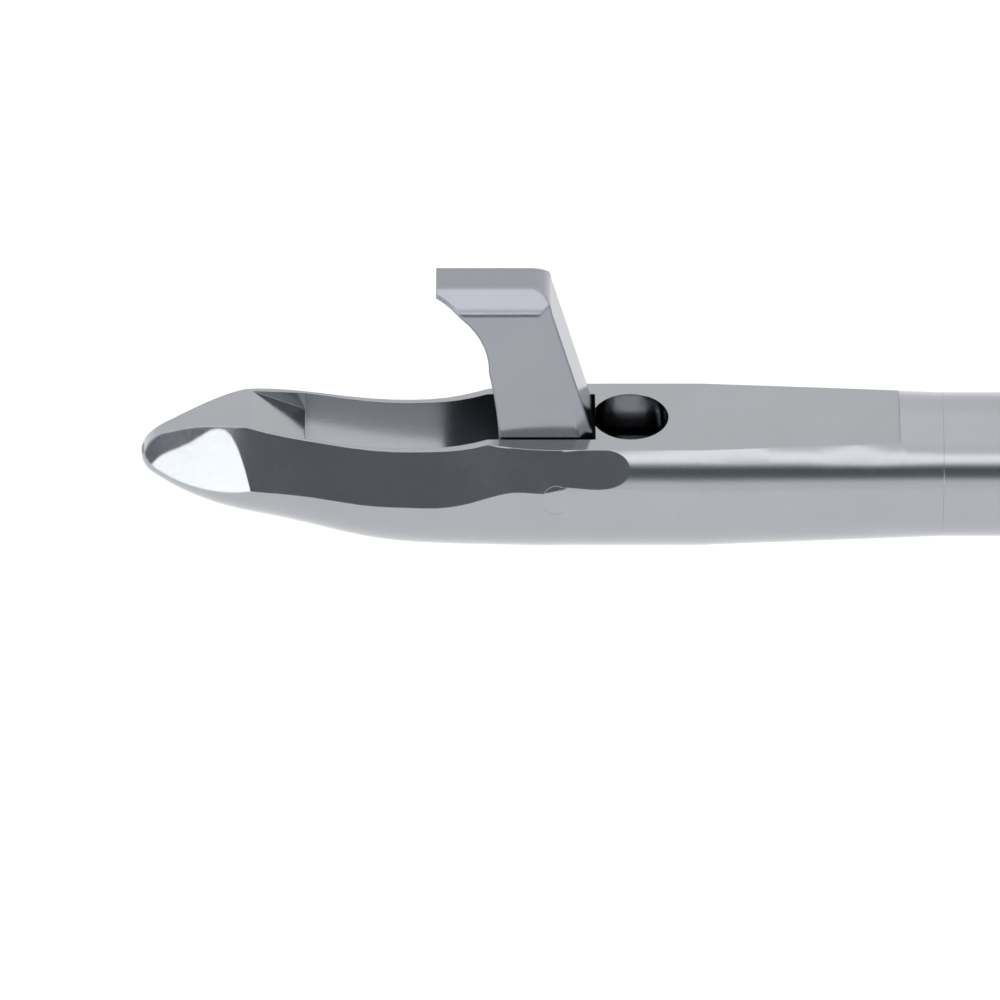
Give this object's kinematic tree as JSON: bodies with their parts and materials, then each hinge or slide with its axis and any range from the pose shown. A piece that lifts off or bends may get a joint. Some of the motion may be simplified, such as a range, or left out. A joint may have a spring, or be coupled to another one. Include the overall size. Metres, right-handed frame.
{
  "type": "endoscopic punch forceps",
  "caption": "Slim shafted punch forceps: a window-nosed head with a hooked jaw that a rod closes from a ring handle.",
  "frame": {"origin": "on the shaft's axis, straight under the jaw's pivot", "axes": "+X from the tip back along the shaft, +Z the side that the jaw opens to, +Y across the instrument"},
  "size_m": [0.1946, 0.009, 0.0996],
  "materials": {
    "head_steel": "fine satin, ground facets",
    "jaw_steel": "fine satin, polished chamfers",
    "pin_steel": "bright turned",
    "rod_steel": "drawn bright",
    "tube_steel": "polished tube",
    "satin_steel": "satin",
    "handle_steel": "bead-blasted satin",
    "bush_bronze": "turned bearing bronze",
    "seal_rubber": "matt silicone"
  },
  "bodies": {
    "frame": {"distal_head": "head_steel", "jaw_pivot_pin": "head_steel", "shaft_tube": "tube_steel", "guide_bushes": "bush_bronze", "shaft_ferrule": "satin_steel", "clamp_screw": "pin_steel", "flush_port": "satin_steel", "rod_seal": "seal_rubber", "seal_gland": "bush_bronze", "fixed_handle": "handle_steel", "pivot_screw": "pin_steel", "thrust_washers": "bush_bronze", "stop_screw": "pin_steel"},
    "jaw": {"punch_jaw": "jaw_steel", "drive_pin": "pin_steel"},
    "rod": {"rod_tongue": "pin_steel", "drive_rod": "rod_steel", "rod_ball": "pin_steel"},
    "lever": {"thumb_lever": "handle_steel", "pivot_bush": "bush_bronze", "ball_keeper": "satin_steel", "keeper_screws": "pin_steel"}
  },
  "joints": [
    {"name": "lever_squeeze", "type": "hinge", "parent": "frame", "child": "lever", "pos_m": [0.14, 0, -0.00686], "axis": [0, 1, 0], "range_deg": [0, 12.5]},
    {"name": "rod_pull", "type": "slide", "parent": "frame", "child": "rod", "axis": [1, 0, 0], "range_m": [0, 0.00152]},
    {"name": "jaw_close", "type": "hinge", "parent": "frame", "child": "jaw", "pos_m": [0, 0, 0.00039], "axis": [0, -1, 0], "range_deg": [0, 75.01]}
  ],
  "couplings": [
    {"joint": "rod_pull", "follows": "lever_squeeze", "m_per_rad": 0.0069759},
    {"joint": "jaw_close", "follows": "lever_squeeze", "ratio": 6}
  ]
}
